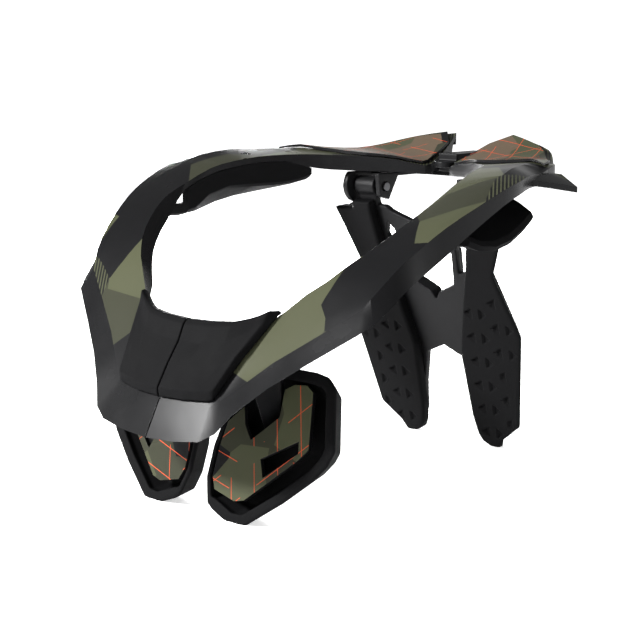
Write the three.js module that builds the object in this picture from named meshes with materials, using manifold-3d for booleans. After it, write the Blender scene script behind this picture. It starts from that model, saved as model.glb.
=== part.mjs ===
// Motocross neck brace: two collar arms that meet at the front and swing on pins at the back,
// a pad under the front of each arm, a shoulder pad under each side, and two wings down the back.
// Millimetres. +X is the wearer's left, +Y is towards the back, +Z is up.

import * as THREE from "three";
import { mergeVertices } from "three/addons/utils/BufferGeometryUtils.js";
import Module from "manifold-3d";

const wasm = await Module();
wasm.setup();

// Driving sizes of the collar
const HALF_WIDTH = 140; // centre line to the widest point of an arm
const DEPTH = 300; // front seam to the back of the tables, near the lip
const HIGH = 200; // feet to the crown of the arms beside the neck
const SKIRT = 20; // tallest stretch of the outer skirt
const BAND = 10; // tallest stretch of the inner band
const SHELL = 3; // wall of the arms
const GAP = 0.4; // between pieces that rest on each other
const SEAM = 0.5; // half the gap at the front centre
const CROWN_AT = 0.3; // place of the crown across the top face, as a share of it
const FIN_THICK = 3.4; // thickness of the pointed end outside the table

// Pads and plates on the arms
const PAD_RISE = 5; // height of the front pad over the arm
const LIP = 13; // reach of the front pad past the neck edge, at the seam
const PLATE = 1.6; // thickness of the table plate
const FLAP = 6; // thickness of the shoulder pad

// Chest pads
const CHEST_WIDTH = 90;
const CHEST_HEIGHT = 95; // along the pad, from its foot
const CHEST_LEAN = 18.7; // degrees, top towards the back
const CHEST_TOE = 3.3; // degrees, outer edge towards the back
const CHEST_Y = 32; // front face at the floor on the centre line
const CHEST_DEEP = 17;
const CHEST_RIM = 7; // rim of the frame round its pocket
const CHEST_THIN = 3.5; // rim on the side of the centre line
const CHEST_TAPER = 8; // how much smaller the back of a chest pad is, all round
const CHEST_EASE = 1; // its broken front edge
const CHEST_FLOOR = 4; // back wall of the pocket
const CHEST_PLATE = 3;

// Wings, hinged on a cross axis below the tables
const WING_SPAN = 73; // centre line to the outer corner
const WING_LEAN = 14.8; // degrees, tips towards the back
const WING_FRAME = 4.6; // thickness of the back plate
const WING_PAD = 7; // thickness of the padded face
const WING_EASE = 1.3; // its broken front edge
const HOLE_RIM = 2.4; // width of the rib round the middle hole
const RIB = 5; // how far that rib stands out at the back
const KNUCKLE_R = 6.6;
const SCREW_R = 3;
const RUN = 0.5; // running clearance of round parts
const CHEEK = 4; // thickness of a bracket cheek
const CHEEK_R = 12;
const INNER_CHEEK_X = 33;
const OUTER_CHEEK_X = 57.6;

// Rear carrier and the pins of the arms
const PIN_X = 26;
const PIN_Y = DEPTH - 16; // pins ahead of the back of the tables
const PIN_R = 4;
const BEAM_LOW = HIGH - 18.5; // underside of the beam, below the crown of the arms
const BEAM_THICK = 5;
const BEAM_DEEP = 12;
const BASE = 2.6; // thickness of a bracket's base
const LINK_HALF = 8; // half width of the link between the tables
const LINK_AHEAD = 16; // reach of the link in front of the pins
const LINK_BEHIND = 22; // and behind them
const LINK_RISE = 11; // its height over the beam
const NOSE_AHEAD = 17; // its round front, ahead of the pins
const NOSE_LIFT = 2; // over the beam
const NOSE_THICK = 4;
const PIVOT_Y = PIN_Y - 41; // cross axis of the wings, ahead of the pins
const PIVOT_Z = BEAM_LOW - 6.5; // and below the beam
const WING_LENGTH = 1.0172 * PIVOT_Z; // pivot to tip, along the leaning wing
const BITE = 1; // how far joined pieces run into each other, and cuts past a face
const SIDES = 20; // facets of round parts

const paint = (color, roughness, metalness = 0) =>
  new THREE.MeshStandardMaterial({ color, roughness, metalness });
const shellPaint = paint(0x23241f, 0.5);
const padPaint = paint(0x141416, 0.85);
const platePaint = paint(0x3a3c30, 0.6);
const hardPaint = paint(0x1b1c1e, 0.55);
const steelPaint = paint(0x8b8d90, 0.35, 1);

const v3 = (x, y, z) => new THREE.Vector3(x, y, z);
const lerp = (a, b, t) => a.clone().lerp(b, t);

// Closed solids

// Points and triangles as a geometry, with the faces turned outwards.
function geometryOf(points, faces) {
  let volume = 0;
  for (let i = 0; i < faces.length; i += 3) {
    const [a, b, c] = [points[faces[i]], points[faces[i + 1]], points[faces[i + 2]]];
    volume += a.dot(b.clone().cross(c));
  }
  const g = new THREE.BufferGeometry();
  g.setAttribute("position", new THREE.Float32BufferAttribute(points.flatMap((p) => p.toArray()), 3));
  g.setIndex(volume < 0 ? faces.toReversed() : faces);
  return g;
}

function toSolid(geometry) {
  const bare = geometry.clone();
  for (const name of ["normal", "uv"]) bare.deleteAttribute(name);
  const merged = mergeVertices(bare, 1e-4);
  return new wasm.Manifold(
    new wasm.Mesh({
      numProp: 3,
      vertProperties: merged.attributes.position.array,
      triVerts: new Uint32Array(merged.index.array),
    }),
  );
}

function toGeometry(solid) {
  const mesh = solid.getMesh();
  const g = new THREE.BufferGeometry();
  g.setAttribute("position", new THREE.BufferAttribute(mesh.vertProperties, 3));
  g.setIndex(new THREE.BufferAttribute(mesh.triVerts, 1));
  return g;
}

const joined = (...list) => toGeometry(list.map(toSolid).reduce((a, b) => a.add(b)));
const cut = (body, ...tools) => toGeometry(tools.map(toSolid).reduce((a, b) => a.subtract(b), toSolid(body)));

// Sections with the same number of points, joined in order. Each cap is three or four point numbers.
function loft(sections, caps) {
  const n = sections[0].length;
  const faces = [];
  for (let i = 0; i + 1 < sections.length; i++) {
    for (let j = 0; j < n; j++) {
      const k = (j + 1) % n;
      const [a, b, c, d] = [i * n + j, i * n + k, (i + 1) * n + k, (i + 1) * n + j];
      faces.push(a, c, b, a, d, c);
    }
  }
  const last = (sections.length - 1) * n;
  for (const [a, b, c, d] of caps) {
    faces.push(a, b, c, last + a, last + c, last + b);
    if (d !== undefined) faces.push(a, c, d, last + a, last + d, last + c);
  }
  return geometryOf(sections.flat(), faces);
}

// A sheet between two grids of points that face each other.
function slab(top, bottom) {
  const rows = top.length;
  const cols = top[0].length;
  const under = rows * cols;
  const at = (i, j) => i * cols + j;
  const faces = [];
  const quad = (a, b, c, d) => faces.push(a, b, c, a, c, d);
  for (let i = 0; i + 1 < rows; i++) {
    for (let j = 0; j + 1 < cols; j++) {
      quad(at(i, j), at(i + 1, j), at(i + 1, j + 1), at(i, j + 1));
      quad(under + at(i, j), under + at(i, j + 1), under + at(i + 1, j + 1), under + at(i + 1, j));
    }
  }
  const rim = [];
  for (let i = 0; i < rows; i++) rim.push(at(i, 0));
  for (let j = 1; j < cols; j++) rim.push(at(rows - 1, j));
  for (let i = rows - 2; i >= 0; i--) rim.push(at(i, cols - 1));
  for (let j = cols - 2; j > 0; j--) rim.push(at(0, j));
  rim.forEach((a, i) => {
    const b = rim[(i + 1) % rim.length];
    quad(b, a, under + a, under + b);
  });
  return geometryOf([...top.flat(), ...bottom.flat()], faces);
}

function outline(points) {
  return new THREE.Shape(points.map(([x, y]) => new THREE.Vector2(x, y)));
}

// An outline in X and Z, made thick along Y from the front face back.
function panel(shape, front, thick) {
  const g = new THREE.ExtrudeGeometry(shape, { depth: thick, bevelEnabled: false, curveSegments: 6 });
  return g.rotateX(Math.PI / 2).translate(0, front + thick, 0);
}

function rodX(x0, x1, y, z, r, sides = SIDES) {
  const g = new THREE.CylinderGeometry(r, r, x1 - x0, sides);
  return g.rotateZ(-Math.PI / 2).translate((x0 + x1) / 2, y, z);
}

function rodZ(x, y, z0, z1, r, sides = SIDES) {
  const g = new THREE.CylinderGeometry(r, r, z1 - z0, sides);
  return g.rotateX(Math.PI / 2).translate(x, y, (z0 + z1) / 2);
}

function block(x0, x1, y0, y1, z0, z1) {
  const g = new THREE.BoxGeometry(x1 - x0, y1 - y0, z1 - z0);
  return g.translate((x0 + x1) / 2, (y0 + y1) / 2, (z0 + z1) / 2);
}

function mirrored(geometry) {
  const g = (geometry.index ? geometry.toNonIndexed() : geometry.clone()).scale(-1, 1, 1);
  const p = g.attributes.position;
  for (let i = 0; i < p.count; i += 3) {
    const keep = [p.getX(i), p.getY(i), p.getZ(i)];
    p.setXYZ(i, p.getX(i + 1), p.getY(i + 1), p.getZ(i + 1));
    p.setXYZ(i + 1, ...keep);
  }
  for (const name of ["normal", "uv"]) g.deleteAttribute(name);
  return g;
}

function addMesh(group, name, geometry, material) {
  const mesh = new THREE.Mesh(geometry, material);
  mesh.name = name;
  group.add(mesh);
}

function addPair(group, name, geometry, material) {
  addMesh(group, name + "_left", geometry, material);
  addMesh(group, name + "_right", mirrored(geometry), material);
}

// Arm of the collar, wearer's left. Each row is one section, from the front seam round to the rear lip.
// outer and inner are the edges of the top face as shares of HALF_WIDTH, DEPTH and HIGH.
// crown is the rise of the top face, drop and lean those of the skirt, as shares of SKIRT.
// fall and tuck are those of the inner band, as shares of BAND. steps is how finely the next stretch curves.
const ARM = [
  { outer: [0, 0.034, 0.35], inner: [0, 0.105, 0.513],
    crown: 0, drop: 0.97, lean: 0.515, fall: 0.3, tuck: 0.05, steps: 1 },
  { outer: [0.143, 0.038, 0.353], inner: [0.143, 0.11, 0.518],
    crown: 0, drop: 0.95, lean: 0.52, fall: 0.3, tuck: 0.05, steps: 1 },
  { outer: [0.268, 0.048, 0.36], inner: [0.25, 0.122, 0.53],
    crown: 0, drop: 0.88, lean: 0.6, fall: 0.3, tuck: 0.05, steps: 1 },
  { outer: [0.31, 0.058, 0.378], inner: [0.29, 0.135, 0.547],
    crown: 0, drop: 0.8, lean: 0.66, fall: 0.3, tuck: 0.05, steps: 1 },
  { outer: [0.373, 0.077, 0.417], inner: [0.35, 0.153, 0.573],
    crown: 0, drop: 0.6, lean: 0.6, fall: 0.35, tuck: 0.1, steps: 1 },
  { outer: [0.493, 0.111, 0.492], inner: [0.429, 0.177, 0.62],
    crown: 0, drop: 0.6, lean: 0.55, fall: 0.6, tuck: 0.3, steps: 1 },
  { outer: [0.643, 0.148, 0.567], inner: [0.493, 0.197, 0.665],
    crown: 0, drop: 0.6, lean: 0.5, fall: 0.9, tuck: 0.6, steps: 1 },
  { outer: [0.809, 0.187, 0.649], inner: [0.564, 0.22, 0.705],
    crown: 0, drop: 0.6, lean: 0.435, fall: 0.9, tuck: 0.7, steps: 2 },
  { outer: [0.854, 0.215, 0.708], inner: [0.629, 0.251, 0.754],
    crown: 0, drop: 0.68, lean: 0.3, fall: 0.9, tuck: 0.7, steps: 2 },
  { outer: [0.896, 0.262, 0.777], inner: [0.693, 0.3, 0.808],
    crown: 0, drop: 0.73, lean: 0.17, fall: 0.9, tuck: 0.7, steps: 3 },
  { outer: [0.953, 0.341, 0.86], inner: [0.732, 0.357, 0.863],
    crown: 0.02, drop: 0.75, lean: 0.05, fall: 0.9, tuck: 0.6, steps: 2 },
  { outer: [0.986, 0.407, 0.908], inner: [0.736, 0.417, 0.902],
    crown: 0.03, drop: 0.6, lean: 0, fall: 0.4, tuck: 0, steps: 2 },
  { outer: [1, 0.482, 0.951], inner: [0.723, 0.488, 0.946],
    crown: 0.08, drop: 0.45, lean: 0, fall: 0.4, tuck: 0, steps: 2 },
  { outer: [0.986, 0.54, 0.969], inner: [0.693, 0.54, 0.965],
    crown: 0.15, drop: 0.38, lean: 0, fall: 0.4, tuck: 0, steps: 2 },
  { outer: [0.936, 0.6, 0.975], inner: [0.643, 0.6, 0.978],
    crown: 0.2, drop: 0.35, lean: 0, fall: 0.4, tuck: 0, steps: 2 },
  { outer: [0.886, 0.653, 0.973], inner: [0.586, 0.657, 0.982],
    crown: 0.2, drop: 0.35, lean: 0, fall: 0.45, tuck: 0, steps: 2 },
  { outer: [0.843, 0.703, 0.972], inner: [0.529, 0.7, 0.982],
    crown: 0.2, drop: 0.38, lean: 0, fall: 0.85, tuck: 0, steps: 2 },
  { outer: [0.8, 0.77, 0.988], inner: [0.457, 0.743, 0.979],
    crown: 0.1, drop: 0.45, lean: 0, fall: 1, tuck: 0, steps: 2 },
  { outer: [0.707, 0.837, 0.982], inner: [0.329, 0.79, 0.975],
    crown: 0, drop: 0.45, lean: 0, fall: 1, tuck: 0, steps: 2 },
  { outer: [0.614, 0.892, 0.978], inner: [0.193, 0.827, 0.966],
    crown: 0, drop: 0.45, lean: 0, fall: 0.85, tuck: 0, steps: 2 },
  { outer: [0.541, 0.937, 0.991], inner: [0.07, 0.858, 0.948],
    crown: 0, drop: 0.45, lean: 0, fall: 0.6, tuck: 0, steps: 2 },
  { outer: [0.46, 0.975, 1.009], inner: [0.075, 0.893, 0.963],
    crown: 0, drop: 0.45, lean: 0, fall: 0.75, tuck: 0, steps: 2 },
  { outer: [0.329, 0.997, 1.029], inner: [0.093, 0.933, 0.985],
    crown: 0, drop: 0.45, lean: 0, fall: 0.9, tuck: 0, steps: 2 },
  { outer: [0.164, 1.022, 1.044], inner: [0.129, 0.983, 1.017],
    crown: 0, drop: 0.4, lean: 0, fall: 0.8, tuck: 0, steps: 1 },
];
// The sharp corner at the side of the front: the rows before it are straight stretches
const KINK_ROW = ARM.findIndex((row) => row.steps > 1);

const place = ([x, y, z]) => v3(SEAM + x * HALF_WIDTH, y * DEPTH, z * HIGH);

// A value of one row as a plain list, so that rows can be blended.
const rowList = (r) => {
  const numbers = [r.crown * SKIRT, r.drop * SKIRT, r.lean * SKIRT, r.fall * BAND, r.tuck * BAND];
  return [...place(r.outer).toArray(), ...place(r.inner).toArray(), ...numbers];
};

// The rows, with finer ones between them on smooth curves behind the kink.
function armRows() {
  const rows = ARM.map(rowList);
  const slope = (i) => {
    const a = rows[Math.max(i - 1, KINK_ROW)];
    const b = rows[Math.min(i + 1, rows.length - 1)];
    return a.map((value, k) => (b[k] - value) / (i > KINK_ROW && i < rows.length - 1 ? 2 : 1));
  };
  const fine = [];
  ARM.forEach((row, i) => {
    for (let s = 0; s < row.steps; s++) {
      const t = s / row.steps;
      if (t === 0 || i < KINK_ROW) {
        fine.push(rows[i]);
        continue;
      }
      const [m0, m1] = [slope(i), slope(i + 1)];
      const [h0, h1] = [2 * t ** 3 - 3 * t ** 2 + 1, t ** 3 - 2 * t ** 2 + t];
      const h3 = t ** 3 - t ** 2;
      fine.push(rows[i].map((a, k) => h0 * a + h1 * m0[k] + (1 - h0) * rows[i + 1][k] + h3 * m1[k]));
    }
  });
  return fine.map((r, i) => ({
    row: i,
    outer: v3(r[0], r[1], r[2]),
    inner: v3(r[3], r[4], r[5]),
    crown: r[6],
    drop: r[7],
    lean: r[8],
    fall: r[9],
    tuck: r[10],
  }));
}

// Directions at a row: along the arm, across it towards the neck, up from the top face, and level outwards.
function armFrame(rows, i) {
  const before = rows[Math.max(i - 1, 0)];
  const after = rows[Math.min(i + 1, rows.length - 1)];
  const along = i === 0 ? v3(1, 0, 0) : after.outer.clone().sub(before.outer).normalize();
  const alongIn = i === 0 ? v3(1, 0, 0) : after.inner.clone().sub(before.inner).normalize();
  const across = rows[i].inner.clone().sub(rows[i].outer).normalize();
  const mean = along.clone().add(alongIn).normalize();
  const up = mean.cross(across).normalize();
  const out = v3(along.y, -along.x, 0).normalize();
  const neck = v3(-alongIn.y, alongIn.x, 0).normalize();
  return { across, up, out, neck };
}

function armSection(rows, i) {
  const r = rows[i];
  const { across, up, out, neck } = armFrame(rows, i);
  const crest = lerp(r.outer, r.inner, CROWN_AT).addScaledVector(up, r.crown);
  const skirt = r.outer.clone().addScaledVector(out, r.lean).add(v3(0, 0, -r.drop));
  const band = r.inner.clone().addScaledVector(neck, r.tuck).add(v3(0, 0, -r.fall));
  const under = (p, side) => p.clone().addScaledVector(across, side * SHELL).addScaledVector(up, -SHELL);
  return [
    r.outer,
    skirt,
    skirt.clone().addScaledVector(out, -SHELL),
    under(r.outer, 1),
    under(crest, 0),
    under(r.inner, -1),
    band.clone().addScaledVector(across, -SHELL),
    band,
    r.inner,
    crest,
  ];
}
// The ends of the arm, as corners of its section
const ARM_CAPS = [
  [0, 1, 2, 3],
  [0, 3, 4, 9],
  [9, 4, 5, 8],
  [8, 5, 6, 7],
];

// The pointed end of the arm outside the table: corners of its top face, as shares of the collar's sizes.
const FIN = [
  [0.88, 0.61, 0.966],
  [0.935, 0.67, 0.952],
  [0.962, 0.746, 0.932],
  [0.843, 0.77, 0.9635],
  [0.82, 0.762, 0.966],
  [0.853, 0.72, 0.97],
  [0.83, 0.69, 0.965],
];

function fin() {
  const top = FIN.map(place);
  const bottom = top.map((p) => p.clone().add(v3(0, 0, -FIN_THICK)));
  const faces = [];
  const n = top.length;
  const flat = top.map((p) => new THREE.Vector2(p.x, p.y));
  for (const [a, b, c] of THREE.ShapeUtils.triangulateShape(flat, [])) {
    faces.push(a, b, c, n + a, n + c, n + b);
  }
  for (let i = 0; i < n; i++) {
    const k = (i + 1) % n;
    faces.push(i, n + k, k, i, n + i, n + k);
  }
  return geometryOf([...top, ...bottom], faces);
}

const rows = armRows();

// A row number of the arm's table, which may fall between two rows, to its place along the fine rows.
const byRow = (share) => {
  const i = Math.min(Math.floor(share), ARM.length - 2);
  const start = ARM.slice(0, i).reduce((sum, r) => sum + r.steps, 0);
  return start + (share - i) * ARM[i].steps;
};

// A point of the top face, lifted along its normal: s is its place along the fine rows, and t its share
// of the way from the outer edge to the inner one.
function onArm(s, t, lift) {
  const i = Math.min(Math.floor(s), rows.length - 2);
  const point = (k) => {
    const r = rows[k];
    const { up } = armFrame(rows, k);
    const hump = r.crown * (t < CROWN_AT ? t / CROWN_AT : (1 - t) / (1 - CROWN_AT));
    return lerp(r.outer, r.inner, t).addScaledVector(up, hump + lift);
  };
  return lerp(point(i), point(i + 1), s - i);
}

// The pin's place under the table, as a row and a share across, and the height of the top face there
const PIN_SPOT = { row: 21.76, across: 0.66 };
const roof = onArm(byRow(PIN_SPOT.row), PIN_SPOT.across, 0).z;

function collarArm() {
  const body = loft(rows.map((_, i) => armSection(rows, i)), ARM_CAPS);
  const boss = rodZ(PIN_X, PIN_Y, BEAM_LOW + BEAM_THICK + RUN, roof - SHELL + GAP / 2, PIN_R * 2);
  const hole = rodZ(PIN_X, PIN_Y, BEAM_LOW, roof - SHELL - BITE, PIN_R + RUN);
  return cut(joined(body, fin(), boss), hole);
}

// Plate on the table, inset from the border of the top face: its rows, and shares across.
// Its front edge runs slanted from the row first by slant.
const TABLE_PLATE = { first: 16.4, slant: 1.8, last: 22.75 };
const TABLE_ACROSS = [0.07, 0.185, CROWN_AT, 0.52, 0.74, 0.95];
const TABLE_STEPS = 12;

// What lies under the plate: the top face of the table, raised by the gap.
function seat() {
  const [start, end] = [byRow(TABLE_PLATE.first - 1), byRow(TABLE_PLATE.last) + 1];
  const grid = (lift) => {
    const list = [];
    for (let s = Math.floor(start); s <= end; s++) {
      list.push([1.2, CROWN_AT, -0.2].map((t) => onArm(s, t, lift)));
    }
    return list;
  };
  return slab(grid(1.5 * GAP), grid(-SHELL));
}

function tablePlate() {
  const { first, slant, last } = TABLE_PLATE;
  const grid = (lift) => {
    const list = [];
    for (let i = 0; i <= TABLE_STEPS; i++) {
      const row = TABLE_ACROSS.map((t) => {
        const start = first + slant * t;
        return onArm(byRow(start + (last - start) * (i / TABLE_STEPS)), t, lift);
      });
      list.push(row);
    }
    return list;
  };
  return cut(slab(grid(2 * GAP + PLATE), grid(-SHELL / 2)), seat());
}

// Half of the front pad: sections from the seam to its side edge.
function frontPad() {
  const stops = [0, 0.2, 0.4, 0.6, 0.8, 0.93, 1];
  const sections = stops.map((a) => {
    const swell = a === 1 ? 0.35 : 1;
    const reach = LIP * (1 - 0.9 * a ** 2);
    const at = (t, h) => onArm(byRow(a * (2.2 + 2.6 * t)), t, h);
    const edge = byRow(a * 4.8);
    const { across, up, neck } = armFrame(rows, Math.round(edge));
    const lip = (far, rise) =>
      onArm(edge, 1, 0).addScaledVector(across, far * reach).addScaledVector(up, rise * PAD_RISE * swell);
    return [
      at(0.06, 2.5 * GAP),
      at(0.06, 2.5 * GAP + 1),
      at(0.17, PAD_RISE * swell),
      at(0.55, PAD_RISE * swell * 1.1),
      at(0.93, PAD_RISE * swell),
      lip(0.55, 1.3),
      lip(0.85, 1.15),
      lip(1, 0.5),
      lip(0.75, -0.35).addScaledVector(neck, 0.6),
      lip(0.2, 0.25),
      at(0.97, 2 * GAP),
      at(0.55, 2 * GAP),
    ];
  });
  return loft(sections, [
    [0, 1, 2],
    [0, 2, 3, 11],
    [11, 3, 4, 10],
    [10, 4, 5, 9],
    [9, 5, 6],
    [9, 6, 7, 8],
  ]);
}

// Shoulder pad: an inner wall under the arm's neck edge that turns outwards into a flap.
// y and the two x are shares of DEPTH and HALF_WIDTH, the three z of HIGH.
const SHOULDER = [
  { y: 0.427, wallX: 0.738, top: 0.881, elbow: 0.8, rimX: 0.92, rim: 0.79 },
  { y: 0.448, wallX: 0.736, top: 0.898, elbow: 0.806, rimX: 0.945, rim: 0.775 },
  { y: 0.483, wallX: 0.724, top: 0.92, elbow: 0.845, rimX: 0.96, rim: 0.77 },
  { y: 0.533, wallX: 0.697, top: 0.939, elbow: 0.87, rimX: 0.955, rim: 0.783 },
  { y: 0.587, wallX: 0.656, top: 0.952, elbow: 0.873, rimX: 0.935, rim: 0.81 },
  { y: 0.637, wallX: 0.607, top: 0.957, elbow: 0.875, rimX: 0.9, rim: 0.833 },
  { y: 0.66, wallX: 0.582, top: 0.955, elbow: 0.878, rimX: 0.8, rim: 0.853 },
  { y: 0.682, wallX: 0.556, top: 0.947, elbow: 0.884, rimX: 0.68, rim: 0.873 },
  { y: 0.71, wallX: 0.52, top: 0.932, elbow: 0.9, rimX: 0.6, rim: 0.89 },
];

function shoulderPad() {
  const sections = SHOULDER.map(({ y, wallX, top, elbow, rimX, rim }) => {
    const p = (x, z) => v3(SEAM + x, y * DEPTH, z);
    const [wall, edge] = [wallX * HALF_WIDTH, rimX * HALF_WIDTH];
    const [zt, ze, zr] = [top * HIGH, elbow * HIGH, rim * HIGH];
    const crook = Math.min(ze + FLAP, zt - 1);
    return [
      p(wall, zt - GAP),
      p(wall, ze + 2),
      p(wall + 2, ze),
      p((wall + edge) / 2, (ze + zr) / 2 - 1),
      p(edge - 1, zr),
      p(edge + 1, zr + FLAP * 0.5),
      p(edge - 1, zr + FLAP),
      p((wall + edge) / 2, Math.min((crook + zr + FLAP) / 2, zt - 0.5)),
      p(wall + FLAP, crook - GAP),
      p(wall + FLAP, zt - GAP),
    ];
  });
  return loft(sections, [
    [0, 1, 8, 9],
    [1, 2, 3, 8],
    [8, 3, 7],
    [7, 3, 4, 6],
    [6, 4, 5],
  ]);
}

// Chest pads, in a frame of their own: x across from the centre line, z up along the pad,
// and the front face at y = 0.
// Corners as shares of CHEST_WIDTH and CHEST_HEIGHT.
const CHEST_OUTLINE = [
  [0.075, 0.44],
  [0.075, 0.24],
  [0.13, 0.085],
  [0.18, 0.05],
  [0.35, -0.01],
  [0.48, 0],
  [0.75, 0.195],
  [0.955, 0.37],
  [1.03, 0.465],
  [1.065, 0.56],
  [0.965, 0.93],
  [0.89, 0.985],
  [0.79, 1],
  [0.42, 1],
  [0.16, 0.86],
];
const CHEST_PLATE_OUTLINE = [
  [0.135, 0.44],
  [0.135, 0.25],
  [0.175, 0.175],
  [0.36, 0.135],
  [0.44, 0.155],
  [0.8, 0.465],
  [0.865, 0.54],
  [0.8, 0.875],
  [0.74, 0.91],
  [0.64, 0.9],
  [0.57, 0.86],
  [0.575, 0.69],
  [0.385, 0.52],
  [0.31, 0.6],
  [0.27, 0.71],
  [0.16, 0.6],
];
const CHEST_WINDOW = [
  [0.5, 0.42],
  [0.55, 0.315],
  [0.79, 0.505],
  [0.775, 0.575],
];
const chestPoint = ([x, z]) => [x * CHEST_WIDTH, z * CHEST_HEIGHT];

// Moves each corner of an outline inwards by the same distance from its two sides.
function inset(points, distance) {
  return points.map((p, i) => {
    const a = new THREE.Vector2(...points[(i + points.length - 1) % points.length]);
    const b = new THREE.Vector2(...p);
    const c = new THREE.Vector2(...points[(i + 1) % points.length]);
    const d0 = b.clone().sub(a).normalize();
    const d1 = c.clone().sub(b).normalize();
    const n0 = new THREE.Vector2(-d0.y, d0.x);
    const n1 = new THREE.Vector2(-d1.y, d1.x);
    const mitre = n0.clone().add(n1).divideScalar(1 + n0.dot(n1));
    return [b.x + mitre.x * distance, b.y + mitre.y * distance];
  });
}

// A solid through outlines of the same corners at several depths: [y, points] from the front to the back.
function stepped(levels) {
  const sections = levels.map(([y, points]) => points.map(([x, z]) => v3(x, y, z)));
  const flat = levels[0][1].map(([x, z]) => new THREE.Vector2(x, z));
  const clockwise = THREE.ShapeUtils.isClockWise(flat);
  const caps = THREE.ShapeUtils.triangulateShape(flat, []);
  return loft(sections, clockwise ? caps.map((cap) => cap.toReversed()) : caps);
}

function chestPieces(floorCut) {
  const outer = CHEST_OUTLINE.map(chestPoint);
  const thin = (i) => i < 3 || i === outer.length - 1;
  const mouth = inset(outer, CHEST_RIM).map(([x, z], i) => [thin(i) ? x - CHEST_RIM + CHEST_THIN : x, z]);
  const floor = CHEST_DEEP - CHEST_FLOOR;
  const body = stepped([
    [0, inset(outer, CHEST_EASE)],
    [CHEST_EASE, outer],
    [CHEST_DEEP, inset(outer, CHEST_TAPER)],
  ]);
  const pocket = stepped([
    [-1, mouth],
    [CHEST_PLATE + 1, mouth],
    [floor, inset(mouth, CHEST_TAPER - 2)],
  ]);
  const face = CHEST_PLATE_OUTLINE.map(chestPoint);
  const window = CHEST_WINDOW.map(chestPoint);
  const sheet = cut(panel(outline(face), 0, CHEST_PLATE), panel(outline(window), -1, CHEST_PLATE + 2));
  const legs = [
    [0.34, 0.3],
    [0.68, 0.7],
  ].map((spot) => {
    const [x, z] = chestPoint(spot);
    return block(x - 5, x + 5, CHEST_PLATE - 1, floor - GAP, z - 5, z + 5);
  });
  return {
    frame: cut(body, pocket, floorCut),
    plate: joined(sheet, ...legs),
  };
}

// Lug between the underside of an arm's front and the floor of the pocket in its chest pad.
const LUG_FOOT = [
  [0.37, 0.575],
  [0.48, 0.69],
  [0.46, 0.8],
  [0.34, 0.68],
];
const LUG_HEAD = [
  [4, 0.24],
  [5, 0.24],
  [5, 0.56],
  [4, 0.56],
];

function chestLug(toCollar) {
  const head = LUG_HEAD.map(([row, t]) => onArm(byRow(row), t, -SHELL - 1.5 * GAP));
  const floor = CHEST_DEEP - CHEST_FLOOR - GAP;
  const foot = LUG_FOOT.map(chestPoint).map(([x, z]) => v3(x, floor, z).applyMatrix4(toCollar));
  return loft([head, foot], [[0, 1, 2, 3]]);
}

// Wings, in a frame whose origin is the pivot: x across, z up along the wing, y through it.
// Corners of the left half as shares of WING_SPAN and WING_LENGTH.
const NECK_IN = 0.534;
const NECK_OUT = 0.767;
const WING_OUTER = [
  [1, -0.072],
  [0.78, -0.295],
  [0.98, -0.5],
  [1, -0.522],
  [0.835, -0.895],
  [0.62, -0.965],
  [0.53, -1.02],
];
const WING_FRAME_OUTER = [
  [0.9, -0.072],
  [0.68, -0.3],
  [0.87, -0.52],
  [0.74, -0.87],
  [0.6, -0.935],
];
const WING_FRAME_INNER = [
  [0.44, -0.97],
  [0.36, -0.92],
  [0.31, -0.8],
  [0.215, -0.66],
  [0, -0.62],
];
const WING_PAD_INNER = [
  [0.37, -0.985],
  [0.33, -0.955],
  [0.295, -0.88],
  [0.27, -0.62],
  [0.42, -0.36],
  [0.5, -0.24],
  [0.55, -0.085],
  [0.55, -0.045],
  [0.77, -0.045],
  [0.77, -0.072],
];
const STRUT_TOP = [
  [0, -0.135],
  [0.195, -0.115],
  [0.374, -0.09],
  [0.45, -0.07],
  [NECK_IN, -0.07],
  [NECK_IN, 0],
  [NECK_OUT, 0],
  [NECK_OUT, -0.072],
];
const SLOT = [
  [0.45, -0.13],
  [0.379, -0.16],
  [0.318, -0.226],
  [0.313, -0.318],
  [0.396, -0.302],
  [0.43, -0.222],
  [0.485, -0.18],
];
const STRUT_HOLE = [
  [0, -0.19],
  [0.2, -0.2],
  [0.26, -0.237],
  [0.235, -0.36],
  [0.04, -0.4],
  [0, -0.43],
];
const wingPoint = ([x, z]) => [x * WING_SPAN, z * WING_LENGTH];

// A closed outline from its left half, whose first and last corners lie on the centre line.
const bothSides = (half) => [...half, ...half.slice(1, -1).reverse().map(([x, z]) => [-x, z])];

function wingFrame(floorCut) {
  const half = [...STRUT_TOP, ...WING_FRAME_OUTER, ...WING_FRAME_INNER].map(wingPoint);
  const plate = panel(outline(bothSides(half)), -WING_FRAME, WING_FRAME);
  const hole = bothSides(STRUT_HOLE.map(wingPoint));
  const slot = SLOT.map(wingPoint);
  const rib = panel(outline(inset(hole, HOLE_RIM)), -BITE, RIB + BITE);
  const through = (p) => panel(outline(p), -WING_FRAME - BITE, WING_FRAME + RIB + 2 * BITE);
  const holes = [hole, slot, slot.map(([x, z]) => [-x, z])].map(through);
  const [inX, outX] = [NECK_IN * WING_SPAN, NECK_OUT * WING_SPAN];
  const knuckle = rodX(inX, outX, 0, 0, KNUCKLE_R);
  const bore = rodX(-outX - BITE, outX + BITE, 0, 0, SCREW_R + RUN);
  return cut(joined(plate, rib, knuckle, mirrored(knuckle)), ...holes, bore, floorCut);
}

function wingPad(floorCut) {
  const points = [...WING_OUTER, ...WING_PAD_INNER].map(wingPoint);
  const back = points.map(([x, z], i) => (i < WING_OUTER.length - 1 ? [x - 5, z] : [x, z]));
  const front = -WING_FRAME - GAP - WING_PAD;
  const body = stepped([
    [front, inset(points, -WING_EASE)],
    [front + WING_EASE, points],
    [front + WING_PAD, back],
  ]);
  return cut(body, floorCut);
}

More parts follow.
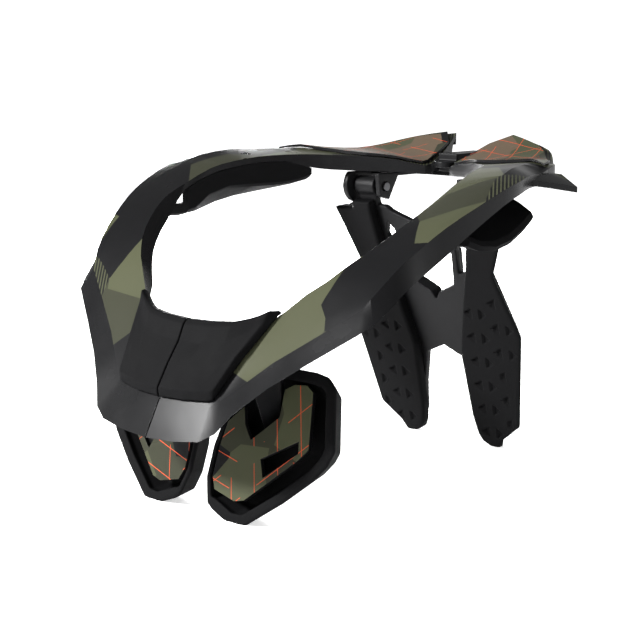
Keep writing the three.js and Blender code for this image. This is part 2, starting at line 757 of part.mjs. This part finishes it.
// Bracket under a table: two cheeks on a base, with the holes of the pivot screw.
function bracket() {
  const rear = PIN_Y - BEAM_DEEP / 2 - GAP;
  const top = BEAM_LOW + BASE;
  const cheek = (x, corners) => {
    const shape = outline(corners);
    const g = new THREE.ExtrudeGeometry(shape, { depth: CHEEK, bevelEnabled: false });
    return g.rotateX(Math.PI / 2).rotateZ(Math.PI / 2).translate(x, 0, 0);
  };
  const start = Math.asin((top - PIVOT_Z) / CHEEK_R);
  const round = [];
  for (let i = 0; i <= 10; i++) {
    const angle = Math.PI - start + (i / 10) * (start + Math.PI * 0.72);
    round.push([PIVOT_Y + CHEEK_R * Math.cos(angle), PIVOT_Z + CHEEK_R * Math.sin(angle)]);
  }
  const back = [
    [rear, BEAM_LOW],
    [rear, top],
  ];
  const blunt = [
    [PIVOT_Y - 7, top],
    [PIVOT_Y - 5, PIVOT_Z - 6.5],
    [PIVOT_Y + 4, PIVOT_Z - 9],
    [PIVOT_Y + 13, BEAM_LOW],
  ];
  const base = block(INNER_CHEEK_X, OUTER_CHEEK_X + CHEEK, PIVOT_Y + 13, rear, BEAM_LOW, top);
  const hole = rodX(INNER_CHEEK_X - 1, OUTER_CHEEK_X + CHEEK + 1, PIVOT_Y, PIVOT_Z, SCREW_R + GAP);
  const cheeks = [cheek(INNER_CHEEK_X, [...blunt, ...back]), cheek(OUTER_CHEEK_X, [...round, ...back])];
  return cut(joined(base, ...cheeks), hole);
}

function wingScrew() {
  const x0 = INNER_CHEEK_X - 1.5;
  const x1 = OUTER_CHEEK_X + CHEEK + GAP;
  const shank = rodX(x0, x1 + 0.5, PIVOT_Y, PIVOT_Z, SCREW_R);
  return joined(shank, rodX(x1, x1 + 2.5, PIVOT_Y, PIVOT_Z, SCREW_R * 1.7));
}

// Beam under the tables, the link that shows between them, and its round front.
function rearLink() {
  const [front, rear] = [PIN_Y - BEAM_DEEP / 2, PIN_Y + BEAM_DEEP / 2];
  const top = BEAM_LOW + BEAM_THICK;
  const half = OUTER_CHEEK_X + CHEEK;
  const beam = block(-half, half, front, rear, BEAM_LOW, top);
  const [ahead, behind] = [PIN_Y - LINK_AHEAD, PIN_Y + LINK_BEHIND];
  const link = block(-LINK_HALF, LINK_HALF, ahead, behind, top - BITE, top + LINK_RISE);
  const nose = rodZ(0, PIN_Y - NOSE_AHEAD, top + NOSE_LIFT, top + NOSE_LIFT + NOSE_THICK, LINK_HALF);
  const holes = [-PIN_X, PIN_X].map((x) => rodZ(x, PIN_Y, BEAM_LOW - BITE, top + BITE, PIN_R + GAP));
  return cut(joined(beam, link, nose), ...holes);
}

const hingePin = () => rodZ(PIN_X, PIN_Y, BEAM_LOW, roof - SHELL - BITE - RUN, PIN_R);

// Everything below the feet is cut away, so that the brace stands flat.
const ground = block(-2 * HALF_WIDTH, 2 * HALF_WIDTH, -DEPTH, 2 * DEPTH, -HIGH, 0);
const below = (group) => ground.clone().applyMatrix4(group.matrix.clone().invert());

const brace = new THREE.Group();
addPair(brace, "collar_arm", collarArm(), shellPaint);
addPair(brace, "table_plate", tablePlate(), platePaint);
addPair(brace, "front_pad", frontPad(), padPaint);
addPair(brace, "shoulder_pad", shoulderPad(), padPaint);
addMesh(brace, "rear_link", rearLink(), hardPaint);
addPair(brace, "hinge_pin", hingePin(), steelPaint);
addPair(brace, "bracket", bracket(), hardPaint);
addPair(brace, "wing_screw", wingScrew(), steelPaint);

const chest = new THREE.Group();
chest.position.set(0, CHEST_Y, 0);
chest.rotation.set(THREE.MathUtils.degToRad(-CHEST_LEAN), 0, THREE.MathUtils.degToRad(CHEST_TOE));
chest.updateMatrix();
const { frame, plate } = chestPieces(below(chest));
addMesh(chest, "chest_frame_left", frame, padPaint);
addMesh(chest, "chest_plate_left", plate, platePaint);
const chestRight = new THREE.Group();
chestRight.position.copy(chest.position);
chestRight.rotation.set(chest.rotation.x, 0, -chest.rotation.z);
addMesh(chestRight, "chest_frame_right", mirrored(frame), padPaint);
addMesh(chestRight, "chest_plate_right", mirrored(plate), platePaint);
addPair(brace, "chest_lug", chestLug(chest.matrix), hardPaint);

const wings = new THREE.Group();
wings.position.set(0, PIVOT_Y, PIVOT_Z);
wings.rotation.x = THREE.MathUtils.degToRad(WING_LEAN);
wings.updateMatrix();
addMesh(wings, "wing_frame", wingFrame(below(wings)), hardPaint);
addPair(wings, "wing_pad", wingPad(below(wings)), padPaint);
brace.add(chest, chestRight, wings);

// The whole stands centred on its own length and width.
brace.updateMatrixWorld(true);
const box = new THREE.Box3().setFromObject(brace, true);
brace.position.set(-(box.min.x + box.max.x) / 2, -(box.min.y + box.max.y) / 2, -box.min.z);

export default brace;
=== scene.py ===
import math

import bmesh
import bpy
from mathutils import Matrix, Vector


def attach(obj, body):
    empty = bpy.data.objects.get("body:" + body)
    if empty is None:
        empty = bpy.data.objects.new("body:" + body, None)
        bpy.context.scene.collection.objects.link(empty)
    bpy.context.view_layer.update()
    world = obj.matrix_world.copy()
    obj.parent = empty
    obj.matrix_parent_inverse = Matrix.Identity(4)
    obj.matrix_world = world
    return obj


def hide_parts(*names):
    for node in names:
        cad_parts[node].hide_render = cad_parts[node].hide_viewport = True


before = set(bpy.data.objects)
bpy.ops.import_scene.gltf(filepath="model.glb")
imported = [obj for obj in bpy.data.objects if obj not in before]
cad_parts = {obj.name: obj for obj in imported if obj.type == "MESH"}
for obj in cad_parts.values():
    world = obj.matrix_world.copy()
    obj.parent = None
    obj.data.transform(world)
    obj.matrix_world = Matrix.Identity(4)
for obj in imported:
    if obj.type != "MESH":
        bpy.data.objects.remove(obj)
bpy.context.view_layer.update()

# Metres in the row frame: +X to the wearer's left, +Y to the back, +Z up.
MM = 0.001
FINE = 1.0  # coarser grids while things are tried

# Rounds of the hard mouldings' edges, and grids on which the other pieces are eased
SHELL_ROUND = 0.7 * MM
PLATE_ROUND = 0.3 * MM
PLATE_GRID = 0.6 * MM
FOAM_GRID = 0.7 * MM
WING_GRID = 0.7 * MM
SMALL_GRID = 0.55 * MM
PIN_GRID = 0.45 * MM
SCREW_GRID = 0.35 * MM
WELD = 0.01 * MM  # corners closer than this are one
THINNED = 0.22  # share of a fine grid's triangles that is kept
SHOULDER_LIFT = 1.0 * MM  # how far the soft shoulder pads swell up against the arms

# Wings: the pivot, their lean and the size of their outline, and the pressed dimples
WING_PIVOT = Vector((0, 89.75, 175)) * MM
WING_LEAN = math.radians(14.8)
WING_SPAN = 73 * MM
WING_LENGTH = 178 * MM
WING_FACE = -12 * MM
DIMPLE_SIDE = 8.5 * MM
DIMPLE_DEPTH = 2.3 * MM
DIMPLE_EDGE = 0.7 * MM
DIMPLE_ACROSS = 10.3 * MM
DIMPLE_DOWN = 8.7 * MM
DIMPLE_CLEAR = 4 * MM
DIMPLE_START = (0.31, -0.4)  # the first dimple, as shares of the wing's span and length
DIMPLE_COLUMNS = 7
DIMPLE_ROWS = 20
DIMPLE_SLOPE = 0.75  # share of the depth that is lost across a dimple
PAD_SKIN = 1.2 * MM  # only what lies this near the pad's face is pressed
TRIANGLE = (math.pi, math.pi / 3, -math.pi / 3)  # headings of a dimple's three sides

# The ridge between an arm's top face and its skirt, from the front seam to the side, as shares of its size
RIDGE = [
    (0, 0.034, 0.35), (0.143, 0.038, 0.353), (0.268, 0.048, 0.36), (0.31, 0.058, 0.378),
    (0.373, 0.077, 0.417), (0.493, 0.111, 0.492), (0.643, 0.148, 0.567), (0.809, 0.187, 0.649),
    (0.854, 0.215, 0.708), (0.896, 0.262, 0.777), (0.953, 0.341, 0.86), (0.986, 0.407, 0.908),
]
RIDGE_SIZE = Vector((140, 300, 200)) * MM
RIDGE_START = Vector((0.5, -153.25, 0)) * MM
RIDGE_RISE = 0.2 * MM  # a face may lie this far above the ridge and still be skirt
RIDGE_SLACK = 0.3 * MM  # or this far inside it

# Which faces carry the print: their tilt, the middle of the neck and where the matt rear starts
FRONT_BARE = (31 * MM, -95 * MM)  # half width and back end of the bare part round the front pad
PRINT_TILT = 0.55  # least upward part of a printed face's normal
INNER_TILT = 0.5  # part of a neck-side face's normal that points at the neck
NECK = Vector((0, -10)) * MM
REAR_FROM = 70 * MM
CHEST_LEAN = math.radians(18.7)
FACE_TURN = 0.6  # least part of a plate face's normal along the way that it looks
CHEST_LOOK = Vector((0, -math.cos(CHEST_LEAN), math.sin(CHEST_LEAN)))
TABLE_LOOK = Vector((0, 0, 1))

# The camera of the photograph
CAMERA_AT = Vector((0.67873, -0.72463, 0.27254))
CAMERA_AZIMUTH = math.radians(43.681)
CAMERA_RISE = math.radians(9.752)
CAMERA_LENS = 91.43
CAMERA_SENSOR = 36


def linked(name, mesh):
    piece = bpy.data.objects.new(name, mesh)
    bpy.context.scene.collection.objects.link(piece)
    return piece


def baked(piece):
    """The piece's mesh with its modifiers applied."""
    graph = bpy.context.evaluated_depsgraph_get()
    mesh = bpy.data.meshes.new_from_object(piece.evaluated_get(graph))
    piece.modifiers.clear()
    piece.data = mesh
    mesh.materials.clear()
    mesh.shade_smooth()
    return piece


def welded(node):
    """A copy of a CAD node's mesh with its shared corners joined."""
    grid = bmesh.new()
    grid.from_mesh(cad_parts[node].data)
    bmesh.ops.remove_doubles(grid, verts=grid.verts, dist=WELD)
    mesh = bpy.data.meshes.new(node + "_form")
    grid.to_mesh(mesh)
    grid.free()
    return mesh


def moulding(node, round_by, turn=24):
    """A new piece in a CAD node's place: a moulding with crisp edges broken by a small round."""
    piece = linked(node + "_surface", welded(node))
    flat = piece.modifiers.new("Flat", "DECIMATE")
    flat.decimate_type = "DISSOLVE"
    flat.angle_limit = math.radians(0.6)
    edge = piece.modifiers.new("Edge", "BEVEL")
    edge.width = round_by
    edge.segments = 2
    edge.limit_method = "ANGLE"
    edge.angle_limit = math.radians(turn)
    edge.use_clamp_overlap = True
    baked(piece)
    piece.data.set_sharp_from_angle(angle=math.radians(turn + 8))
    weigh = piece.modifiers.new("Weigh", "WEIGHTED_NORMAL")
    weigh.keep_sharp = True
    baked(piece)
    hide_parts(node)
    return piece


def rounded(node, grid, passes, keep=THINNED):
    """A new piece in a CAD node's place: its form on a fine grid, its edges eased, then thinned out."""
    piece = linked(node + "_surface", welded(node))
    cells = piece.modifiers.new("Cells", "REMESH")
    cells.mode = "VOXEL"
    cells.voxel_size = grid * FINE
    ease = piece.modifiers.new("Ease", "SMOOTH")
    ease.factor = 0.5
    ease.iterations = passes
    thin = piece.modifiers.new("Thin", "DECIMATE")
    thin.decimate_type = "COLLAPSE"
    thin.ratio = keep
    baked(piece)
    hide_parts(node)
    return piece


def printed_top(piece, side):
    """Gives the first material to the printed faces, and the others to the skirt, the band and the rear."""
    ridge = [Vector(a * b for a, b in zip(p, RIDGE_SIZE)) + RIDGE_START for p in RIDGE]
    for face in piece.data.polygons:
        centre = Vector((side * face.center.x, face.center.y, face.center.z))
        inward = -face.normal.xy.dot((face.center.xy - NECK).normalized())
        plain = face.normal.z < PRINT_TILT or inward > INNER_TILT
        nearest = 1e9
        for a, b in zip(ridge, ridge[1:]):
            run = (b - a).xy
            share = min(1, max(0, (centre.xy - a.xy).dot(run) / run.length_squared))
            at = a.lerp(b, share)
            gap = (centre.xy - at.xy).length
            if gap < nearest:
                nearest = gap
                below = centre.z < at.z + RIDGE_RISE
                off = centre.xy - at.xy
                outside = run.x * off.y - run.y * off.x < RIDGE_SLACK * run.length
        if centre.y < ridge[-1].y and below and outside:
            plain = True
        if plain:
            face.material_index = 1 if centre.y < REAR_FROM else 2
        else:
            face.material_index = 0


def printed_face(piece, way):
    """Gives the first material to a plate's face, which looks along way, and the second to its edges."""
    for face in piece.data.polygons:
        face.material_index = 0 if face.normal.dot(way) > FACE_TURN else 1


# Materials

NOISE_SPAN = (0.3, 0.7)  # where nearly all values of a noise lie


class Paint:
    """A node material: small helpers that add and link nodes."""

    def __init__(self, name):
        self.material = bpy.data.materials.new(name)
        self.material.use_nodes = True
        self.nodes = self.material.node_tree.nodes
        self.links = self.material.node_tree.links
        self.shader = self.nodes["Principled BSDF"]
        self.place = self.nodes.new("ShaderNodeTexCoord").outputs["Object"]

    def join(self, source, target):
        self.links.new(source, target)

    def sized(self, scale, turn=(0, 0, 0)):
        node = self.nodes.new("ShaderNodeMapping")
        node.inputs["Scale"].default_value = scale
        node.inputs["Rotation"].default_value = [math.radians(a) for a in turn]
        self.join(self.place, node.inputs["Vector"])
        return node.outputs["Vector"]

    def noise(self, per_metre, detail=2.0, rough=0.5, at=None):
        node = self.nodes.new("ShaderNodeTexNoise")
        node.inputs["Scale"].default_value = per_metre
        node.inputs["Detail"].default_value = detail
        node.inputs["Roughness"].default_value = rough
        self.join(at or self.place, node.inputs["Vector"])
        return node.outputs["Fac"]

    def cells(self, per_metre, at=None, flat=False):
        node = self.nodes.new("ShaderNodeTexVoronoi")
        node.voronoi_dimensions = "2D" if flat else "3D"
        node.inputs["Scale"].default_value = per_metre
        self.join(at or self.place, node.inputs["Vector"])
        return node.outputs["Color"]

    def sums(self, work, a, b=0.0, c=None):
        node = self.nodes.new("ShaderNodeMath")
        node.operation = work
        for socket, value in zip(node.inputs, (a, b, c)):
            if value is None:
                continue
            if isinstance(value, (int, float)):
                socket.default_value = value
            else:
                self.join(value, socket)
        return node.outputs[0]

    def part(self, vector, axis):
        node = self.nodes.new("ShaderNodeSeparateXYZ")
        self.join(vector, node.inputs[0])
        return node.outputs[axis]

    def along(self, direction, at=None):
        node = self.nodes.new("ShaderNodeVectorMath")
        node.operation = "DOT_PRODUCT"
        node.inputs[1].default_value = direction
        self.join(at or self.place, node.inputs[0])
        return node.outputs["Value"]

    def spread(self, value, low, high, to_low, to_high):
        node = self.nodes.new("ShaderNodeMapRange")
        node.inputs["From Min"].default_value = low
        node.inputs["From Max"].default_value = high
        node.inputs["To Min"].default_value = to_low
        node.inputs["To Max"].default_value = to_high
        self.join(value, node.inputs["Value"])
        return node.outputs["Result"]

    def mixed(self, share, first, second):
        node = self.nodes.new("ShaderNodeMix")
        node.data_type = "RGBA"
        for socket, value in ((node.inputs[0], share), (node.inputs[6], first), (node.inputs[7], second)):
            if isinstance(value, (int, float)):
                socket.default_value = value
            elif isinstance(value, tuple):
                socket.default_value = (*value, 1)
            else:
                self.join(value, socket)
        return node.outputs[2]

    def relief(self, height, distance, strength=1.0):
        node = self.nodes.new("ShaderNodeBump")
        node.inputs["Distance"].default_value = distance
        node.inputs["Strength"].default_value = strength
        self.join(height, node.inputs["Height"])
        self.join(node.outputs["Normal"], self.shader.inputs["Normal"])

    def colour(self, value):
        if isinstance(value, tuple):
            self.shader.inputs["Base Color"].default_value = (*value, 1)
        else:
            self.join(value, self.shader.inputs["Base Color"])

    def rough(self, field, low, high):
        self.join(self.spread(field, *NOISE_SPAN, low, high), self.shader.inputs["Roughness"])


BLACK = (0.006, 0.006, 0.0065)
OLIVE = (0.052, 0.055, 0.032)
MOSS = (0.029, 0.03, 0.02)
RUST = (0.095, 0.07, 0.048)
EMBER = (0.5, 0.07, 0.025)
SHELL_PATCHES = 33.0  # per metre
PLATE_PATCHES = 42.0
OLIVE_SHARE = 0.6  # of the patches that aren't black
HATCH_PITCH = 2.1 * MM
HATCH_LINE = 0.42  # share of the pitch
GLOSS = 0.08  # specular level of the printed surfaces
# Heading, spacing and shift of each family of lines in the net
NET = [(18, 17 * MM, 0.1), (77, 15 * MM, 0.45), (131, 19 * MM, 0.7)]
NET_LINE = 0.38 * MM
NET_GAPS = 0.38  # share of each line that is left out


def patches(paint, per_metre, field, bare, flat=False):
    """Straight-edged patches in black and two olives, with bare the share left black."""
    cell = paint.cells(per_metre, field, flat)
    pick, second = paint.part(cell, "X"), paint.part(cell, "Y")
    dull = paint.sums("GREATER_THAN", pick, bare)
    bright = paint.sums("GREATER_THAN", pick, 1 - (1 - bare) * OLIVE_SHARE)
    tone = paint.mixed(dull, BLACK, MOSS)
    return paint.mixed(bright, tone, OLIVE), second, pick


def hatched(paint, tone, where, direction):
    """Fine olive lines across the direction, in the cells picked by where."""
    wave = paint.sums("FRACT", paint.sums("MULTIPLY", paint.along(direction), 1 / HATCH_PITCH))
    line = paint.sums("LESS_THAN", wave, HATCH_LINE)
    return paint.mixed(paint.sums("MULTIPLY", line, where), tone, OLIVE)


def satin(paint):
    """The common surface of the hard mouldings: a soft gloss that drifts, and a fine grain."""
    paint.rough(paint.noise(32, 3.0), 0.27, 0.34)
    paint.relief(paint.noise(1400, 3.0), 0.02 * MM, 0.5)
    paint.shader.inputs["Specular IOR Level"].default_value = GLOSS


def shell_finish():
    paint = Paint("shell_camouflage")
    field = paint.sized((1.0, 0.62, 0.8), (12, 8, 34))
    tone, second, pick = patches(paint, SHELL_PATCHES, field, 0.6)
    plain = paint.sums("LESS_THAN", pick, 0.5)
    zone = paint.sums("MULTIPLY", plain, paint.sums("GREATER_THAN", second, 0.62))
    tone = hatched(paint, tone, zone, (0.8, 0.6, 0.0))
    beside = paint.sums("GREATER_THAN", paint.sums("ABSOLUTE", paint.part(paint.place, "X")), FRONT_BARE[0])
    behind = paint.sums("GREATER_THAN", paint.part(paint.place, "Y"), FRONT_BARE[1])
    paint.colour(paint.mixed(paint.sums("MAXIMUM", beside, behind), BLACK, tone))
    satin(paint)
    return paint.material


def plate_finish(name, turn, bare, rust):
    """Olive and dark patches under a loose net of thin warm lines, drawn in the plate's own plane."""
    paint = Paint(name)
    field = paint.sized((1, 1, 1), turn)
    tone, second, pick = patches(paint, PLATE_PATCHES, field, bare, True)
    tone = paint.mixed(paint.sums("GREATER_THAN", second, 1 - rust), tone, RUST)
    net = None
    for angle, pitch, shift in NET:
        heading = (math.cos(math.radians(angle)), math.sin(math.radians(angle)), 0)
        place = paint.sums("MULTIPLY_ADD", paint.along(heading, field), 1 / pitch, shift)
        line = paint.sums("LESS_THAN", paint.sums("FRACT", place), NET_LINE / pitch)
        turned = paint.sized((1, 1, 1), (turn[0], 0, angle))
        patch = paint.part(paint.cells(30 + 7 * shift, turned, True), "X")
        line = paint.sums("MULTIPLY", line, paint.sums("GREATER_THAN", patch, NET_GAPS))
        net = line if net is None else paint.sums("MAXIMUM", net, line)
    paint.colour(paint.mixed(net, tone, EMBER))
    satin(paint)
    return paint.material


def moulded(name, tone, low, high, level, grain=1300, depth=0.03):
    """Plain moulded plastic: fine grain and a faint change of gloss."""
    paint = Paint(name)
    drift = paint.noise(60, 3.0)
    paint.colour(paint.mixed(drift, tuple(0.8 * c for c in tone), tuple(1.2 * c for c in tone)))
    paint.rough(paint.noise(35, 3.0), low, high)
    paint.relief(paint.noise(grain, 3.0), depth * MM, 0.6)
    paint.shader.inputs["Specular IOR Level"].default_value = level
    return paint.material


def foam_finish():
    paint = Paint("foam_skin")
    drift = paint.noise(45, 4.0)
    paint.colour(paint.mixed(drift, (0.003, 0.003, 0.0032), (0.006, 0.006, 0.0065)))
    paint.rough(drift, 0.6, 0.75)
    pores = paint.noise(2200, 4.0, 0.7)
    paint.relief(pores, 0.08 * MM, 0.7)
    paint.shader.inputs["Specular IOR Level"].default_value = 0.035
    return paint.material


def steel_finish(name, dark, light):
    paint = Paint(name)
    streaks = paint.noise(900, 3.0, 0.6, paint.sized((1, 1, 0.06)))
    paint.colour(paint.mixed(streaks, dark, light))
    paint.rough(streaks, 0.3, 0.45)
    paint.relief(streaks, 0.01 * MM, 0.5)
    paint.shader.inputs["Metallic"].default_value = 1.0
    return paint.material


SHELL = shell_finish()
TABLE = plate_finish("table_camouflage", (0, 0, 0), 0.15, 0.4)
CHEST = plate_finish("chest_camouflage", (-90, 0, 0), 0.3, 0.0)
HARD = moulded("satin_plastic", (0.007, 0.007, 0.0075), 0.22, 0.28, 0.11)
FITTING = moulded("fitting_plastic", (0.006, 0.006, 0.0065), 0.36, 0.46, 0.1)
WING_HARD = moulded("wing_plastic", (0.006, 0.006, 0.0065), 0.4, 0.5, 0.1, 900, 0.05)
FOAM = foam_finish()
STEEL = steel_finish("brushed_steel", (0.3, 0.31, 0.32), (0.5, 0.51, 0.52))
DARK_STEEL = steel_finish("dark_steel", (0.07, 0.07, 0.075), (0.13, 0.13, 0.135))


def dressed(piece, material, body):
    piece.data.materials.append(material)
    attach(piece, body)
    return piece


# Wings

WING_PLACE = Matrix.Translation(WING_PIVOT) @ Matrix.Rotation(WING_LEAN, 4, "X")
WING_BACK = WING_PLACE.inverted()
PAD_OUTLINE = [
    (1, -0.072), (0.78, -0.295), (0.98, -0.5), (1, -0.522), (0.835, -0.895), (0.62, -0.965),
    (0.53, -1.02), (0.37, -0.985), (0.33, -0.955), (0.295, -0.88), (0.27, -0.62), (0.42, -0.36),
    (0.5, -0.24), (0.55, -0.085), (0.55, -0.045), (0.77, -0.045), (0.77, -0.072),
]


def inside_by(point, outline):
    """How far a point lies inside an outline; negative outside."""
    nearest = 1e9
    inside = False
    for (ax, ay), (bx, by) in zip(outline, outline[1:] + outline[:1]):
        dx, dy = bx - ax, by - ay
        share = ((point[0] - ax) * dx + (point[1] - ay) * dy) / (dx * dx + dy * dy)
        share = min(1, max(0, share))
        gap = math.hypot(point[0] - ax - share * dx, point[1] - ay - share * dy)
        nearest = min(nearest, gap)
        if (ay > point[1]) != (by > point[1]) and point[0] < ax + (point[1] - ay) / dy * dx:
            inside = not inside
    return nearest if inside else -nearest


def dimples():
    """Centres and turns of the pressed triangles, in the left wing's own plane."""
    outline = [(x * WING_SPAN, z * WING_LENGTH) for x, z in PAD_OUTLINE]
    found = []
    for column in range(DIMPLE_COLUMNS):
        for row in range((column + 1) // 2 % 2, DIMPLE_ROWS, 2):
            x = DIMPLE_START[0] * WING_SPAN + column * DIMPLE_ACROSS
            z = DIMPLE_START[1] * WING_LENGTH - row * DIMPLE_DOWN
            if inside_by((x, z), outline) > DIMPLE_CLEAR:
                found.append((x, z, 1 if column % 2 == 0 else -1))
    return found


def pressed(piece, side):
    """Presses the triangular dimples into the front face of a wing pad."""
    reach = DIMPLE_SIDE / math.sqrt(3)
    spots = dimples()
    for vertex in piece.data.vertices:
        local = WING_BACK @ vertex.co
        if local.y > WING_FACE + PAD_SKIN:
            continue
        x = side * local.x
        for cx, cz, turn in spots:
            if abs(x - cx) > DIMPLE_SIDE or abs(local.z - cz) > DIMPLE_SIDE:
                continue
            u, v = turn * (x - cx), local.z - cz
            depth = min(reach / 2 - u * math.cos(a) - v * math.sin(a) for a in TRIANGLE)
            share = min(1, max(0, depth / DIMPLE_EDGE))
            slope = 1 - DIMPLE_SLOPE * min(1, max(0, side * (x - cx) / DIMPLE_SIDE + 0.5))
            local.y += DIMPLE_DEPTH * slope * share * share * (3 - 2 * share)
            vertex.co = WING_PLACE @ local
            break
    piece.data.update()


for side, word in ((1, "left"), (-1, "right")):
    arm = "arm_" + word
    collar = dressed(moulding("collar_arm_" + word, SHELL_ROUND), SHELL, arm)
    collar.data.materials.append(HARD)
    collar.data.materials.append(FITTING)
    printed_top(collar, side)
    table = dressed(moulding("table_plate_" + word, PLATE_ROUND), TABLE, arm)
    table.data.materials.append(FITTING)
    printed_face(table, TABLE_LOOK)
    dressed(rounded("front_pad_" + word, FOAM_GRID, 2), FOAM, arm)
    shoulder = dressed(moulding("shoulder_pad_" + word, SHELL_ROUND), FOAM, arm)
    shoulder.data.transform(Matrix.Translation((0, 0, SHOULDER_LIFT)))
    dressed(rounded("chest_frame_" + word, SMALL_GRID, 16), FOAM, arm)
    chest = dressed(moulding("chest_plate_" + word, PLATE_ROUND), CHEST, arm)
    chest.data.materials.append(FITTING)
    printed_face(chest, CHEST_LOOK)
    dressed(rounded("chest_lug_" + word, SMALL_GRID, 2), FITTING, arm)
    dressed(rounded("bracket_" + word, PLATE_GRID, 2), FITTING, "carrier")
    dressed(rounded("wing_screw_" + word, SCREW_GRID, 2), DARK_STEEL, "carrier")
    dressed(rounded("hinge_pin_" + word, PIN_GRID, 2), STEEL, "carrier")
    pad = rounded("wing_pad_" + word, WING_GRID, 8, 1)
    pressed(pad, side)
    dressed(pad, FOAM, "wings")
dressed(rounded("rear_link", SMALL_GRID, 3), FITTING, "carrier")
dressed(rounded("wing_frame", WING_GRID, 3), WING_HARD, "wings")


# Floor, light and camera

FLOOR_REACH = 6
FLOOR_GLOW = (0.6, 1.0)  # emission near the part and far from it
FLOOR_GLOW_AT = (0.2, 3.0)  # squared distances of the two
SKY = (1.12, 0.22)  # strength at the horizon and overhead
SKY_AT = (0.04, 0.42)  # heights of the two
LAMPS = [
    # name, place, aim, size, power
    ("front", (-0.74, -1.14, 0.85), (0, -0.15, 0.06), (0.26, 0.26), 58),
    ("side", (-1.35, 0.75, 0.3), (-0.1, -0.1, 0.1), (0.7, 0.5), 70),
    ("near", (1.5, 0.25, 0.6), (0.1, -0.05, 0.1), (0.6, 0.4), 5),
    ("top", (0.2, 0.3, 1.8), (0, 0, 0), (1.4, 1.4), 4),
]


def floor():
    mesh = bpy.data.meshes.new("floor")
    corners = [(x * FLOOR_REACH, y * FLOOR_REACH, 0) for x, y in ((-1, -1), (1, -1), (1, 1), (-1, 1))]
    mesh.from_pydata(corners, [], [(0, 1, 2, 3)])
    piece = linked("floor", mesh)
    paint = Paint("floor")
    paint.colour(paint.mixed(paint.noise(3, 2.0), (0.9, 0.9, 0.9), (0.93, 0.93, 0.93)))
    paint.shader.inputs["Emission Color"].default_value = (1, 1, 1, 1)
    x, y = paint.part(paint.place, "X"), paint.part(paint.place, "Y")
    away = paint.sums("MULTIPLY_ADD", x, x, paint.sums("MULTIPLY", y, y))
    paint.join(paint.spread(away, *FLOOR_GLOW_AT, *FLOOR_GLOW), paint.shader.inputs["Emission Strength"])
    paint.rough(paint.noise(5, 2.0), 0.85, 0.95)
    mesh.materials.append(paint.material)


def lamp(name, at, toward, size, power):
    light = bpy.data.lights.new(name, "AREA")
    light.shape = "RECTANGLE"
    light.size, light.size_y = size
    light.energy = power
    piece = bpy.data.objects.new(name, light)
    bpy.context.scene.collection.objects.link(piece)
    piece.location = at
    piece.rotation_euler = (Vector(toward) - Vector(at)).to_track_quat("-Z", "Y").to_euler()


def camera():
    view = bpy.data.cameras.new("camera")
    view.lens = CAMERA_LENS
    view.sensor_width = CAMERA_SENSOR
    view.clip_start = 0.05
    view.clip_end = 30
    piece = bpy.data.objects.new("camera", view)
    bpy.context.scene.collection.objects.link(piece)
    a, e = CAMERA_AZIMUTH, CAMERA_RISE
    back = Vector((math.sin(a) * math.cos(e), -math.cos(a) * math.cos(e), math.sin(e)))
    right = Vector((math.cos(a), math.sin(a), 0))
    turn = Matrix((right, back.cross(right), back)).transposed()
    piece.matrix_world = Matrix.Translation(CAMERA_AT) @ turn.to_4x4()
    bpy.context.scene.camera = piece


def studio():
    """Soft surroundings: white at the horizon, dimmer overhead."""
    world = bpy.data.worlds.new("studio")
    world.use_nodes = True
    nodes, links = world.node_tree.nodes, world.node_tree.links
    height = nodes.new("ShaderNodeSeparateXYZ")
    links.new(nodes.new("ShaderNodeTexCoord").outputs["Generated"], height.inputs[0])
    fade = nodes.new("ShaderNodeMapRange")
    fade.interpolation_type = "SMOOTHSTEP"
    for name, value in zip(("From Min", "From Max", "To Min", "To Max"), (*SKY_AT, *SKY)):
        fade.inputs[name].default_value = value
    links.new(height.outputs["Z"], fade.inputs["Value"])
    links.new(fade.outputs["Result"], nodes["Background"].inputs["Strength"])
    nodes["Background"].inputs["Color"].default_value = (1, 1, 1, 1)
    bpy.context.scene.world = world
    bpy.context.scene.view_settings.view_transform = "Standard"


studio()
floor()
for row in LAMPS:
    lamp(*row)
camera()
